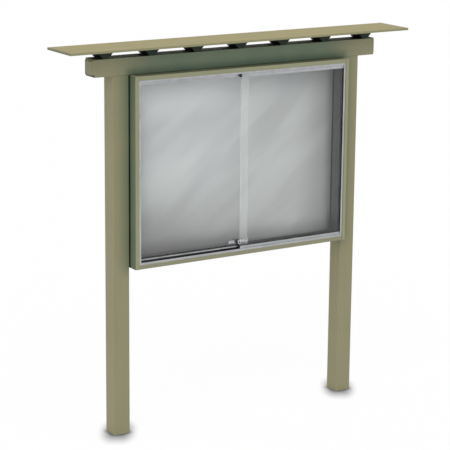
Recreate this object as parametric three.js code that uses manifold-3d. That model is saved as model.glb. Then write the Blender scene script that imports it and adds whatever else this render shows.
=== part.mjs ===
// Lockable notice board: a sliding-glass case between two square posts, under a header and a roof board.
// Millimetres, +X along the board, +Y towards its back, +Z up, origin on the ground midway between the posts.
import * as THREE from 'three';
import Module from 'manifold-3d';
import { mergeVertices } from 'three/addons/utils/BufferGeometryUtils.js';

const wasm = await Module();
wasm.setup();

// Posts and header
const postSize = 89;
const postEase = 3;
const groundClearance = 868;
const headerOverhang = 110;
const headerChamfer = 13;

// Roof and its brackets
const bracketCount = 7;
const bracketPitch = 256;
const bracketHeight = 38;
const bracketDepth = 102;
const bracketFoot = 30;
const bracketTop = 96;
const roofOverhang = 155;
const roofDepth = 246;
const roofThickness = 12;
const roofEase = 2;

// Case boards
const caseWidth = 1270;
const caseHeight = 969;
const caseDepth = 140;
const caseWall = 22;
const caseEase = 2.5;
const caseProud = 56;
const sideGap = 6;
const headGap = 1;
const rebateWidth = 10;
const backPanelThickness = 12;
const backPanelGap = 0.5;

// Display lining
const tackThickness = 19.5;
const tackGap = 6;
const liningThickness = 1.5;
const liningGap = 0.3;

// Aluminium tracks and side channels
const trackSetback = 1.5;
const trackWeb = 2;
const lipThickness = 1.5;
const ribThickness = 2;
const grooveWidth = 13;
const lowerLip = 11;
const upperLip = 9;
const sideLip = 10;
const trackEndGap = 0.5;

// Sliding doors
const doorOverlap = 50;
const meetingOffset = 4;
const paneThickness = 5;
const paneSeat = 6;
const paneGap = 0.4;
const railDepth = 10;
const shoeHeight = 10;
const topRailHeight = 23;
const topRailGap = 1.5;
const glideDepth = 9;
const glideHeight = 13;
const glideLift = 3;
const stopLength = 6.5;
const bumperHeight = 16;
const bumperEase = 1.5;
const channelEntry = 1;

// Door rollers
const rollerRadius = 6.5;
const rollerWidth = 5;
const rollerRim = 0.6;
const rollerInset = 60;
const rollerLift = 0.2;
const axleRadius = 1.5;
const pocketGap = 0.6;

// Ratchet lock
const barHeight = 15;
const barThickness = 2.5;
const barTail = 113;
const barPaneGap = 2.3;
const hookGap = 0.4;
const hookReach = 11;
const toothDepth = 0.7;
const toothPitch = 3;
const toothCount = 18;
const toothInset = 4;
const lockLift = 20;
const barrelRadius = 10;
const barrelLength = 27;
const barrelRim = 1;
const slotGap = 0.4;
const plugRadius = 6;
const plugLength = 12;
const plugProud = 0.5;
const keywayWidth = 1.4;
const keywayHeight = 7.5;
const keywayDepth = 8;
const pawlRadius = 5.6;
const pawlThickness = 2.6;
const pawlTip = 2.4;
const pawlTipWidth = 5;
const springRadius = 3.6;
const springWire = 0.4;
const springTurns = 3;
const pawlTravel = 1.2;

// Fasteners: radius of the head, height of its rim, depth of its seat, radius of the shank, length, point
const lagScrew = { head: 8, rim: 4, seat: 4.2, shank: 4, length: 155, point: 6 };
const lagSink = 8;
const roofScrew = { head: 5, rim: 0.6, seat: 3.4, shank: 2.4, length: 88, point: 5 };
const caseScrew = { head: 8, rim: 4, seat: 4.2, shank: 4, length: 84, point: 6 };
const caseScrewSink = 5;
const caseScrewInset = 150;
const spacerWidth = 40;
const spacerInset = 60;

// Clearances and facets
const fitGap = 0.3;
const overrun = 2;
const easeSteps = 2;
const screwSides = 8;
const roundSides = 20;
const wheelSides = 16;
const pinSides = 10;
const wireSides = 5;
const stepsPerTurn = 8;

// Levels and places that follow from the sizes above
const postHeight = groundClearance + caseHeight + headGap;
const headerHeight = postSize;
const headerTop = postHeight + headerHeight;
const roofUnder = headerTop + bracketHeight;
const postSpacing = caseWidth + 2 * sideGap + postSize;
const postX = postSpacing / 2;
const headerLength = postSpacing + postSize + 2 * headerOverhang;
const roofLength = headerLength + 2 * roofOverhang;
const caseFront = -postSize / 2 - caseProud;
const caseBack = caseFront + caseDepth;
const caseBottom = groundClearance;
const caseTop = caseBottom + caseHeight;
const innerWidth = caseWidth - 2 * caseWall;
const innerBottom = caseBottom + caseWall;
const innerTop = caseTop - caseWall;
const innerHeight = innerTop - innerBottom;
const innerMiddle = (innerBottom + innerTop) / 2;
const panelFront = caseBack - backPanelThickness;
const fixingY = (panelFront - postSize / 2) / 2;
const tackFront = panelFront - tackThickness;
const trackDepth = 2 * lipThickness + 2 * grooveWidth + ribThickness;
const trackFront = caseFront + trackSetback;
const trackBack = trackFront + trackDepth;
const frontDoorY = trackFront + lipThickness + grooveWidth / 2;
const rearDoorY = frontDoorY + grooveWidth + ribThickness;
const trackFloor = innerBottom + trackWeb;
const trackCeiling = innerTop - trackWeb;
const glideBottom = trackFloor + glideLift;
const shoeBottom = glideBottom + glideHeight;
const shoeTop = shoeBottom + shoeHeight;
const topRailTop = trackCeiling - topRailGap;
const topRailBottom = topRailTop - topRailHeight;
const paneBottom = shoeTop - paneSeat + paneGap;
const paneTop = topRailBottom + paneSeat - paneGap;
const doorOuter = innerWidth / 2 - sideLip + channelEntry;
const leftDoorInner = meetingOffset + doorOverlap / 2;
const rightDoorInner = meetingOffset - doorOverlap / 2;
const axleZ = trackFloor + rollerLift + rollerRadius;
const lockZ = shoeTop + lockLift;
const rearPaneFront = rearDoorY - paneThickness / 2;
const barBack = rearPaneFront - barPaneGap;
const barFront = barBack - barThickness;
const barrelX = rightDoorInner - barrelRadius - fitGap;
const barrelBack = barBack + slotGap + (barPaneGap - slotGap) / 2;
const barrelFront = barrelBack - barrelLength;
const slotFront = barFront - slotGap;
const plugFront = barrelFront - plugProud;
const plugBack = plugFront + plugLength;
const pawlFront = slotFront - pawlThickness;
const bearing = axleRadius + fitGap;

// Finishes
function finish(color, roughness, metalness = 0) {
  return new THREE.MeshStandardMaterial({ color, roughness, metalness });
}

const lumber = () => finish(0x8e8a6d, 0.75);
const roofLumber = () => finish(0xa8a07d, 0.75);
const aluminium = () => finish(0xb2b6ba, 0.35, 0.9);
const liningMetal = () => finish(0x8f9294, 0.45, 0.7);
const steel = () => finish(0xa5a7a8, 0.4, 0.9);
const chrome = () => finish(0xd0d2d4, 0.2, 1);
const nickel = () => finish(0xc6c6c2, 0.3, 1);
const blackPlastic = () => finish(0x141414, 0.6);
const tackVinyl = () => finish(0xbabec2, 0.85);
const glass = () => {
  const material = finish(0xe6efec, 0.05);
  material.transparent = true;
  material.opacity = 0.25;
  return material;
};

// Points shared between faces are merged, and faces with no area are dropped.
function closedGeometry(geometry) {
  const bare = geometry.clone();
  bare.deleteAttribute('normal');
  bare.deleteAttribute('uv');
  const merged = mergeVertices(bare);
  const index = merged.index.array;
  const kept = [];
  for (let i = 0; i < index.length; i += 3) {
    const [a, b, c] = [index[i], index[i + 1], index[i + 2]];
    if (a !== b && b !== c && c !== a) kept.push(a, b, c);
  }
  merged.setIndex(kept);
  return merged;
}

function solidOf(geometry) {
  const closed = closedGeometry(geometry);
  const vertProperties = Float32Array.from(closed.attributes.position.array);
  const triVerts = Uint32Array.from(closed.index.array);
  return new wasm.Manifold(new wasm.Mesh({ numProp: 3, vertProperties, triVerts }));
}

function geometryOf(solid) {
  const mesh = solid.getMesh();
  const geometry = new THREE.BufferGeometry();
  geometry.setAttribute('position', new THREE.BufferAttribute(Float32Array.from(mesh.vertProperties), 3));
  geometry.setIndex(Array.from(mesh.triVerts));
  geometry.computeVertexNormals();
  return geometry;
}

function cut(geometry, cutters) {
  return geometryOf(cutters.reduce((rest, cutter) => rest.subtract(solidOf(cutter)), solidOf(geometry)));
}

function shared(first, ...others) {
  return geometryOf(others.reduce((rest, other) => rest.intersect(solidOf(other)), solidOf(first)));
}

const moved = (geometry, x, y, z) => geometry.clone().translate(x, y, z);
const block = (x, y, z) => new THREE.BoxGeometry(x, y, z);
const outline = (points) => new THREE.Shape(points.map(([x, y]) => new THREE.Vector2(x, y)));

function extruded(shape, length) {
  const settings = { depth: length, bevelEnabled: false, curveSegments: easeSteps };
  return new THREE.ExtrudeGeometry(shape, settings);
}

// A rectangle centred on the origin with all four corners rounded.
function easedRectangle(width, height, ease) {
  const [x, y] = [width / 2, height / 2];
  const shape = new THREE.Shape();
  shape.moveTo(-x + ease, -y);
  shape.lineTo(x - ease, -y);
  shape.absarc(x - ease, -y + ease, ease, -Math.PI / 2, 0);
  shape.lineTo(x, y - ease);
  shape.absarc(x - ease, y - ease, ease, 0, Math.PI / 2);
  shape.lineTo(-x + ease, y);
  shape.absarc(-x + ease, y - ease, ease, Math.PI / 2, Math.PI);
  shape.lineTo(-x, -y + ease);
  shape.absarc(-x + ease, -y + ease, ease, Math.PI, 1.5 * Math.PI);
  return shape;
}

// A bar of a flat section, centred on its length, laid with the section's x and y along two given directions.
function bar(shape, length, across, up) {
  const along = new THREE.Vector3().crossVectors(across, up);
  const turn = new THREE.Matrix4().makeBasis(across, up, along);
  return extruded(shape, length).translate(0, 0, -length / 2).applyMatrix4(turn);
}

const plusX = new THREE.Vector3(1, 0, 0);
const plusY = new THREE.Vector3(0, 1, 0);
const plusZ = new THREE.Vector3(0, 0, 1);
const minusX = plusX.clone().negate();
const minusY = plusY.clone().negate();
const minusZ = plusZ.clone().negate();

// A turned piece whose profile is given as radius and height, standing along +Z.
function turned(profile, sides) {
  const points = profile.map(([radius, height]) => new THREE.Vector2(radius, height));
  return new THREE.LatheGeometry(points, sides).rotateX(Math.PI / 2);
}

function disc(radius, thickness, sides) {
  return turned([[0, 0], [radius, 0], [radius, thickness], [0, thickness]], sides);
}

// A screw with its head's top at the origin and its point towards -Z.
function screw({ head, rim, seat, shank, length, point }) {
  const profile = [[0, -length], [shank, point - length], [shank, -seat], [head, -rim], [head, 0], [0, 0]];
  return turned(profile, screwSides);
}

// The hole for a screw, open above its head by the sink and an overrun.
function screwHole({ head, rim, seat, shank, length }, sink) {
  const top = sink + overrun;
  const [wide, narrow] = [head + fitGap, shank + fitGap];
  const profile = [
    [0, -length - fitGap], [narrow, -length - fitGap], [narrow, -seat - fitGap], [wide, -rim - fitGap],
    [wide, top], [0, top],
  ];
  return turned(profile, screwSides);
}

// Turns a piece made along -Z so that its point looks along the given direction.
function aimed(geometry, direction) {
  const turn = new THREE.Quaternion().setFromUnitVectors(minusZ, direction);
  return geometry.clone().applyQuaternion(turn);
}

// A screw and its hole at a place on the board, with its head sunk that deep along its direction.
function fastener(kind, sink, place, direction) {
  const head = place.clone().addScaledVector(direction, sink);
  const put = (geometry) => moved(aimed(geometry, direction), head.x, head.y, head.z);
  return { solid: put(screw(kind)), hole: put(screwHole(kind, sink)) };
}

// Evenly spaced values about zero, the outer two a given span apart.
function spread(count, span) {
  return Array.from({ length: count }, (_, i) => (count > 1 ? (i / (count - 1) - 1 / 2) * span : 0));
}

const group = new THREE.Group();

function addPiece(name, geometry, material, x = 0, y = 0, z = 0) {
  const mesh = new THREE.Mesh(geometry, material);
  mesh.name = name;
  mesh.position.set(x, y, z);
  group.add(mesh);
}

// Adds a piece with holes cut where the cutters, placed in the whole board's frame, meet it.
function addDrilled(name, geometry, cutters, material, x, y, z) {
  addPiece(name, cut(geometry, cutters.map((cutter) => moved(cutter, -x, -y, -z))), material, x, y, z);
}

// Fasteners
const lagScrews = [-postX, postX].map((x) => (
  fastener(lagScrew, lagSink, new THREE.Vector3(x, 0, headerTop), minusZ)
));
const bracketXs = spread(bracketCount, (bracketCount - 1) * bracketPitch);
const roofScrews = bracketXs.map((x) => (
  fastener(roofScrew, 0, new THREE.Vector3(x, 0, roofUnder + roofThickness), minusZ)
));
const caseScrews = [minusX, plusX].flatMap((direction) => (
  [innerBottom + caseScrewInset, innerTop - caseScrewInset].map((z) => (
    fastener(caseScrew, caseScrewSink, new THREE.Vector3(direction.x * innerWidth / 2, fixingY, z), direction)
  ))
));
const holesOf = (fasteners) => fasteners.map(({ hole }) => hole);

function addStand() {
  const section = easedRectangle(postSize, postSize, postEase);
  for (const [name, x] of [['post_left', -postX], ['post_right', postX]]) {
    const post = bar(section, postHeight, plusX, plusY);
    addDrilled(name, post, holesOf([...lagScrews, ...caseScrews]), lumber(), x, 0, postHeight / 2);
  }
  const beam = bar(section, headerLength, plusY, plusZ);
  const [halfLength, half] = [headerLength / 2, postSize / 2];
  const chamfered = outline([
    [-halfLength, -half + headerChamfer], [-halfLength + headerChamfer, -half],
    [halfLength - headerChamfer, -half], [halfLength, -half + headerChamfer],
    [halfLength, half - headerChamfer], [halfLength - headerChamfer, half],
    [-halfLength + headerChamfer, half], [-halfLength, half - headerChamfer],
  ]);
  const clipHeight = postSize + 2 * overrun;
  const upperClip = bar(chamfered, clipHeight, plusX, plusY);
  const frontClip = bar(chamfered, clipHeight, plusX, plusZ);
  const header = shared(beam, upperClip, frontClip);
  const headerZ = postHeight + headerHeight / 2;
  addDrilled('header_beam', header, holesOf([...lagScrews, ...roofScrews]), lumber(), 0, 0, headerZ);
  addPiece('header_lag_screw_left', lagScrews[0].solid, steel());
  addPiece('header_lag_screw_right', lagScrews[1].solid, steel());
}

function addRoof() {
  const side = outline([
    [-bracketFoot / 2, 0], [bracketFoot / 2, 0],
    [bracketTop / 2, bracketHeight], [-bracketTop / 2, bracketHeight],
  ]);
  bracketXs.forEach((x, i) => {
    const bracket = bar(side, bracketDepth, plusX, plusZ);
    addDrilled(`roof_bracket_${i + 1}`, bracket, [roofScrews[i].hole], lumber(), x, 0, headerTop);
    addPiece(`roof_screw_${i + 1}`, roofScrews[i].solid, steel());
  });
  const board = bar(easedRectangle(roofDepth, roofThickness, roofEase), roofLength, plusY, plusZ);
  addDrilled('roof_board', board, holesOf(roofScrews), roofLumber(), 0, 0, roofUnder + roofThickness / 2);
}

// Section of a case board from its outer face inwards and from front to back, with the rebate at the back.
function boardSection() {
  const shape = new THREE.Shape();
  shape.moveTo(0, caseEase);
  shape.absarc(caseEase, caseEase, caseEase, Math.PI, 1.5 * Math.PI);
  shape.lineTo(caseWall - caseEase, 0);
  shape.absarc(caseWall - caseEase, caseEase, caseEase, 1.5 * Math.PI, 2 * Math.PI);
  shape.lineTo(caseWall, caseDepth - backPanelThickness);
  shape.lineTo(caseWall - rebateWidth, caseDepth - backPanelThickness);
  shape.lineTo(caseWall - rebateWidth, caseDepth);
  shape.lineTo(0, caseDepth);
  return shape;
}

// Section of a double track from the board it lies on inwards and from front to back.
function trackSection(lip) {
  const edges = [0, lipThickness, lipThickness + grooveWidth, lipThickness + grooveWidth + ribThickness];
  const rearGroove = edges[3] + grooveWidth;
  return outline([
    [0, 0], [lip, 0], [lip, edges[1]], [trackWeb, edges[1]], [trackWeb, edges[2]], [lip, edges[2]],
    [lip, edges[3]], [trackWeb, edges[3]], [trackWeb, rearGroove], [lip, rearGroove], [lip, trackDepth],
    [0, trackDepth],
  ]);
}

function addCase() {
  const section = boardSection();
  const middle = (caseBottom + caseTop) / 2;
  const holes = holesOf(caseScrews);
  const left = bar(section, caseHeight, plusX, plusY);
  const right = bar(section, caseHeight, minusX, plusY);
  addDrilled('case_left', left, holes, lumber(), -caseWidth / 2, caseFront, middle);
  addDrilled('case_right', right, holes, lumber(), caseWidth / 2, caseFront, middle);
  addPiece('case_top', bar(section, innerWidth, minusZ, plusY), lumber(), 0, caseFront, caseTop);
  addPiece('case_bottom', bar(section, innerWidth, plusZ, plusY), lumber(), 0, caseFront, caseBottom);

  const spacer = block(sideGap, spacerWidth, caseHeight - 2 * spacerInset);
  const spacerX = (caseWidth + sideGap) / 2;
  addDrilled('case_spacer_left', spacer, holes, blackPlastic(), -spacerX, fixingY, middle);
  addDrilled('case_spacer_right', spacer, holes, blackPlastic(), spacerX, fixingY, middle);
  const screwNames = ['left_lower', 'left_upper', 'right_lower', 'right_upper'];
  caseScrews.forEach(({ solid }, i) => addPiece(`case_screw_${screwNames[i]}`, solid, steel()));

  const panelMargin = 2 * (rebateWidth - backPanelGap);
  const panel = block(innerWidth + panelMargin, backPanelThickness, innerHeight + panelMargin);
  addPiece('back_panel', panel, lumber(), 0, panelFront + backPanelThickness / 2, innerMiddle);
}

function addDisplay() {
  const tack = block(innerWidth - 2 * tackGap, tackThickness, innerHeight - 2 * tackGap);
  addPiece('tack_board', tack, tackVinyl(), 0, tackFront + tackThickness / 2, innerMiddle);
  const liningFront = trackBack + liningGap;
  const liningDepth = panelFront - liningGap - liningFront;
  const [width, height] = [innerWidth - 2 * liningGap, innerHeight - 2 * liningGap];
  const sheet = block(width, liningDepth, height);
  const hollow = block(width - 2 * liningThickness, liningDepth + overrun, height - 2 * liningThickness);
  addPiece('case_lining', cut(sheet, [hollow]), liningMetal(), 0, liningFront + liningDepth / 2, innerMiddle);
}

function addTracks() {
  const length = innerWidth - 2 * trackEndGap;
  const lower = bar(trackSection(lowerLip), length, plusZ, plusY);
  const upper = bar(trackSection(upperLip), length, minusZ, plusY);
  addPiece('lower_track', lower, aluminium(), 0, trackFront, innerBottom);
  addPiece('upper_track', upper, aluminium(), 0, trackFront, innerTop);
  const channelBottom = innerBottom + lowerLip + fitGap;
  const channelTop = innerTop - upperLip - fitGap;
  const channelZ = (channelBottom + channelTop) / 2;
  const left = bar(trackSection(sideLip), channelTop - channelBottom, plusX, plusY);
  const right = bar(trackSection(sideLip), channelTop - channelBottom, minusX, plusY);
  addPiece('left_side_channel', left, aluminium(), -innerWidth / 2, trackFront, channelZ);
  addPiece('right_side_channel', right, aluminium(), innerWidth / 2, trackFront, channelZ);
}

// Section of a rail that grips the pane in a slot open at its top.
function railSection(height) {
  const [half, slot] = [railDepth / 2, paneThickness / 2 + paneGap];
  return outline([
    [-half, 0], [half, 0], [half, height], [slot, height],
    [slot, height - paneSeat], [-slot, height - paneSeat], [-slot, height], [-half, height],
  ]);
}

// A small wheel about the Y axis, with a bore for its axle.
function rollerWheel() {
  const half = rollerWidth / 2;
  return turned([
    [bearing, -half], [rollerRadius - rollerRim, -half], [rollerRadius, rollerRim - half],
    [rollerRadius, half - rollerRim], [rollerRadius - rollerRim, half], [bearing, half], [bearing, -half],
  ], wheelSides).rotateX(Math.PI / 2);
}

// One glass door in the groove at y, with the x values of its inner and outer ends.
function addDoor(name, ends, y) {
  const length = Math.abs(ends[1] - ends[0]);
  const middle = (ends[0] + ends[1]) / 2;
  const pane = block(length, paneThickness, paneTop - paneBottom);
  addPiece(`${name}_glass`, pane, glass(), middle, y, (paneBottom + paneTop) / 2);
  const shoe = bar(railSection(shoeHeight), length, plusY, plusZ);
  addPiece(`${name}_door_shoe`, shoe, aluminium(), middle, y, shoeBottom);
  const topRail = bar(railSection(topRailHeight), length, plusY, minusZ);
  addPiece(`${name}_door_top_rail`, topRail, aluminium(), middle, y, topRailTop);

  const inward = Math.sign(middle - ends[0]);
  const stopX = ends[0] - inward * stopLength;
  const raisedX = ends[0] - inward * fitGap;
  const glide = outline([
    [stopX, glideBottom], [ends[1], glideBottom], [ends[1], shoeBottom],
    [raisedX, shoeBottom], [raisedX, shoeTop], [stopX, shoeTop],
  ]);
  const wheelXs = [ends[0] + inward * rollerInset, ends[1] - inward * rollerInset];
  const pocketTop = axleZ + rollerRadius + pocketGap;
  const pocketHeight = pocketTop - glideBottom + overrun;
  const pocket = block(2 * (rollerRadius + pocketGap), rollerWidth + 2 * fitGap, pocketHeight);
  const axleHole = aimed(disc(bearing, glideDepth + 2 * overrun, pinSides), minusY);
  const cutters = wheelXs.flatMap((x) => [
    moved(pocket, x, 0, pocketTop - pocketHeight / 2),
    moved(axleHole, x, -glideDepth / 2 - overrun, axleZ),
  ]);
  const glideBar = bar(glide, glideDepth, plusX, plusZ);
  addPiece(`${name}_door_glide`, cut(glideBar, cutters), aluminium(), 0, y);
  wheelXs.forEach((x, i) => {
    const place = i ? 'outer' : 'inner';
    const axle = aimed(disc(axleRadius, glideDepth, pinSides), minusY);
    addPiece(`${name}_roller_axle_${place}`, axle, steel(), x, y - glideDepth / 2, axleZ);
    addPiece(`${name}_roller_${place}`, rollerWheel(), blackPlastic(), x, y, axleZ);
  });

  const bumper = bar(easedRectangle(railDepth, bumperHeight, bumperEase), stopLength, plusY, plusZ);
  const bumperX = ends[0] - inward * stopLength / 2;
  addPiece(`${name}_door_bumper`, bumper, blackPlastic(), bumperX, y, topRailBottom + bumperHeight / 2);
}

// The toothed bar lies between the panes and hooks round the free edge of the left door's pane.
function addRatchetBar() {
  const hookX = leftDoorInner + hookGap;
  const hookOuter = hookX + barThickness;
  const hookInnerY = rearDoorY + paneThickness / 2 + hookGap;
  const hookBack = hookInnerY + barThickness;
  const tail = leftDoorInner - barTail;
  const firstTooth = tail + toothInset;
  const lastTooth = firstTooth + toothCount * toothPitch;
  const teeth = Array.from({ length: toothCount }, (_, i) => firstTooth + i * toothPitch).flatMap((x) => [
    [x, barFront], [x, barFront + toothDepth],
  ]);
  const section = outline([
    [tail, barBack], [tail, barFront], ...teeth, [lastTooth, barFront],
    [hookOuter, barFront], [hookOuter, hookBack], [hookX - hookReach, hookBack],
    [hookX - hookReach, hookInnerY], [hookX, hookInnerY], [hookX, barBack],
  ]);
  addPiece('ratchet_bar', bar(section, barHeight, plusX, plusY), chrome(), 0, 0, lockZ);
}

// The lock barrel stands against the right door's free edge, with the bar passing through its slot.
function addLock() {
  const barrel = aimed(turned([
    [0, 0], [barrelRadius - barrelRim, 0], [barrelRadius, barrelRim], [barrelRadius, barrelLength],
    [0, barrelLength],
  ], roundSides), minusY).translate(0, barrelFront, 0);
  const boreDepth = slotFront - barrelFront + overrun;
  const bore = aimed(disc(plugRadius + fitGap, boreDepth + overrun, roundSides), minusY);
  const slotDepth = barThickness + 2 * slotGap;
  const slot = block(2 * (barrelRadius + overrun), slotDepth, barHeight + 2 * slotGap);
  const openings = [moved(bore, 0, barrelFront - overrun, 0), moved(slot, 0, slotFront + slotDepth / 2, 0)];
  addPiece('lock_barrel', cut(barrel, openings), chrome(), barrelX, 0, lockZ);

  const plug = aimed(disc(plugRadius, plugLength, roundSides), minusY).translate(0, plugFront, 0);
  const keyway = block(keywayWidth, keywayDepth, keywayHeight);
  const keywayY = plugFront + keywayDepth / 2 - overrun;
  addPiece('lock_plug', cut(plug, [moved(keyway, 0, keywayY, 0)]), nickel(), barrelX, 0, lockZ);

  const pawlPoint = outline([
    [-pawlTipWidth / 2, 0], [pawlTipWidth / 2, 0],
    [pawlTipWidth / 2, pawlTip / 2], [-pawlTipWidth / 2, pawlTip],
  ]);
  const tip = bar(pawlPoint, pawlTipWidth, plusX, plusY).translate(0, pawlThickness, 0);
  const body = aimed(disc(pawlRadius, pawlThickness, roundSides), minusY);
  const pawl = geometryOf(solidOf(body).add(solidOf(tip)));
  addPiece('lock_pawl', pawl, steel(), barrelX, pawlFront - pawlTip, lockZ);

  const springRoom = pawlFront - pawlTip - pawlTravel - plugBack - 2 * (springWire + fitGap);
  const turns = Array.from({ length: springTurns * stepsPerTurn + 1 }, (_, i) => {
    const angle = (2 * Math.PI * i) / stepsPerTurn;
    const rise = (springRoom * i) / (springTurns * stepsPerTurn);
    return new THREE.Vector3(springRadius * Math.cos(angle), rise, springRadius * Math.sin(angle));
  });
  const wire = outline(Array.from({ length: wireSides }, (_, i) => {
    const angle = (2 * Math.PI * i) / wireSides;
    return [springWire * Math.cos(angle), springWire * Math.sin(angle)];
  }));
  const path = new THREE.CatmullRomCurve3(turns);
  const coil = new THREE.ExtrudeGeometry(wire, { steps: springTurns * stepsPerTurn, extrudePath: path });
  addPiece('pawl_spring', coil, steel(), barrelX, plugBack + springWire + fitGap, lockZ);
}

addStand();
addRoof();
addCase();
addDisplay();
addTracks();
addDoor('left', [leftDoorInner, -doorOuter], rearDoorY);
addDoor('right', [rightDoorInner, doorOuter], frontDoorY);
addRatchetBar();
addLock();

export default group;
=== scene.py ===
import math

import bmesh
import bpy
from mathutils import Matrix, Vector


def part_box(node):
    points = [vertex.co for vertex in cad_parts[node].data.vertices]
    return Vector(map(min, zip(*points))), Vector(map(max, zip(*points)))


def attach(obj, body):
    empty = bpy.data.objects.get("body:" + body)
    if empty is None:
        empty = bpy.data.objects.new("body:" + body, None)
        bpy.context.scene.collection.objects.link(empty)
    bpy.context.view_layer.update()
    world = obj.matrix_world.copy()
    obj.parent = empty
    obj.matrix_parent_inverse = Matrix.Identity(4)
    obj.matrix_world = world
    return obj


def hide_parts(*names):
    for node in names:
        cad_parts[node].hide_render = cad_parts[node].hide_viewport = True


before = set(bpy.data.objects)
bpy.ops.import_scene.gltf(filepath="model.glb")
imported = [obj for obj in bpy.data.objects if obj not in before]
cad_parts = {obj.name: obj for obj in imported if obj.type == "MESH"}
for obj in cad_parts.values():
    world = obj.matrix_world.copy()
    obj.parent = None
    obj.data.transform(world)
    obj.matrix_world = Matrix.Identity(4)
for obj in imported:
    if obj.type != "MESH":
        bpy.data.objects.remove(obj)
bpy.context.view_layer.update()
scene = bpy.context.scene
mm = 0.001
print("stage: frame loaded")


# camera at the photo's angle
cameraSettings = {
    "place": (-4.8379, -7.6941, 3.2166),
    "yaw": 31.87,  # degrees from +Y towards +X
    "pitch": -13.695,
    "roll": 0.535,
    "lens": 144.795,
    "sensor": 36.0,
}


def addCamera(settings):
    yaw, pitch, roll = (math.radians(settings[key]) for key in ("yaw", "pitch", "roll"))
    ahead = Vector((math.sin(yaw) * math.cos(pitch), math.cos(yaw) * math.cos(pitch), math.sin(pitch)))
    level = Vector((math.cos(yaw), -math.sin(yaw), 0))
    upright = level.cross(ahead)
    right = math.cos(roll) * level + math.sin(roll) * upright
    up = math.cos(roll) * upright - math.sin(roll) * level
    data = bpy.data.cameras.new("photoCamera")
    data.sensor_fit = "HORIZONTAL"
    data.sensor_width = settings["sensor"]
    data.lens = settings["lens"]
    camera = bpy.data.objects.new("photoCamera", data)
    turn = Matrix((right, up, -ahead)).transposed().to_4x4()
    camera.matrix_world = Matrix.Translation(settings["place"]) @ turn
    scene.collection.objects.link(camera)
    scene.camera = camera


addCamera(cameraSettings)


# short ways to write shader nodes
def put(tree, kind, values=None, **settings):
    node = tree.nodes.new(kind)
    for key, value in settings.items():
        setattr(node, key, value)
    for socket, value in (values or {}).items():
        if isinstance(value, bpy.types.NodeSocket):
            tree.links.new(value, node.inputs[socket])
        else:
            node.inputs[socket].default_value = value
    return node


def calc(tree, operation, *values, clamp=False):
    return put(tree, "ShaderNodeMath", dict(enumerate(values)),
               operation=operation, use_clamp=clamp).outputs[0]


def vectorCalc(tree, operation, *values):
    return put(tree, "ShaderNodeVectorMath", dict(enumerate(values)), operation=operation).outputs[0]


def ramp(tree, value, low, high, toLow=0.0, toHigh=1.0, smooth=True):
    return put(tree, "ShaderNodeMapRange",
               {"Value": value, "From Min": low, "From Max": high, "To Min": toLow, "To Max": toHigh},
               interpolation_type="SMOOTHSTEP" if smooth else "LINEAR").outputs[0]


def mixed(tree, amount, first, second, mode="MIX"):
    return put(tree, "ShaderNodeMix", {0: amount, 6: first, 7: second},
               data_type="RGBA", blend_type=mode).outputs[2]


def tinted(tree, colour, tint):
    return mixed(tree, 1.0, colour, (*tint, 1), "MULTIPLY")


def split(tree, vector):
    return put(tree, "ShaderNodeSeparateXYZ", {0: vector}).outputs


def surfaceNormal(tree):
    return split(tree, put(tree, "ShaderNodeNewGeometry").outputs["Normal"])


def noise(tree, vector, scale, detail=3.0, rough=0.5):
    return put(tree, "ShaderNodeTexNoise",
               {"Vector": vector, "Scale": scale, "Detail": detail, "Roughness": rough}).outputs[0]


def objectPoint(tree):
    return put(tree, "ShaderNodeTexCoord").outputs["Object"]


def srgb(red, green, blue):
    def linear(value):
        value /= 255
        return value / 12.92 if value <= 0.04045 else ((value + 0.055) / 1.055) ** 2.4
    return (linear(red), linear(green), linear(blue), 1.0)


def newGroup(name, inputs, outputs):
    tree = bpy.data.node_groups.new(name, "ShaderNodeTree")
    for label, kind, value in inputs:
        socket = tree.interface.new_socket(label, in_out="INPUT", socket_type="NodeSocket" + kind)
        socket.default_value = value
    for label, kind in outputs:
        tree.interface.new_socket(label, in_out="OUTPUT", socket_type="NodeSocket" + kind)
    return tree, tree.nodes.new("NodeGroupInput").outputs, tree.nodes.new("NodeGroupOutput").inputs


def useGroup(tree, group, values=None):
    return put(tree, "ShaderNodeGroup", values, node_tree=group).outputs


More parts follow.
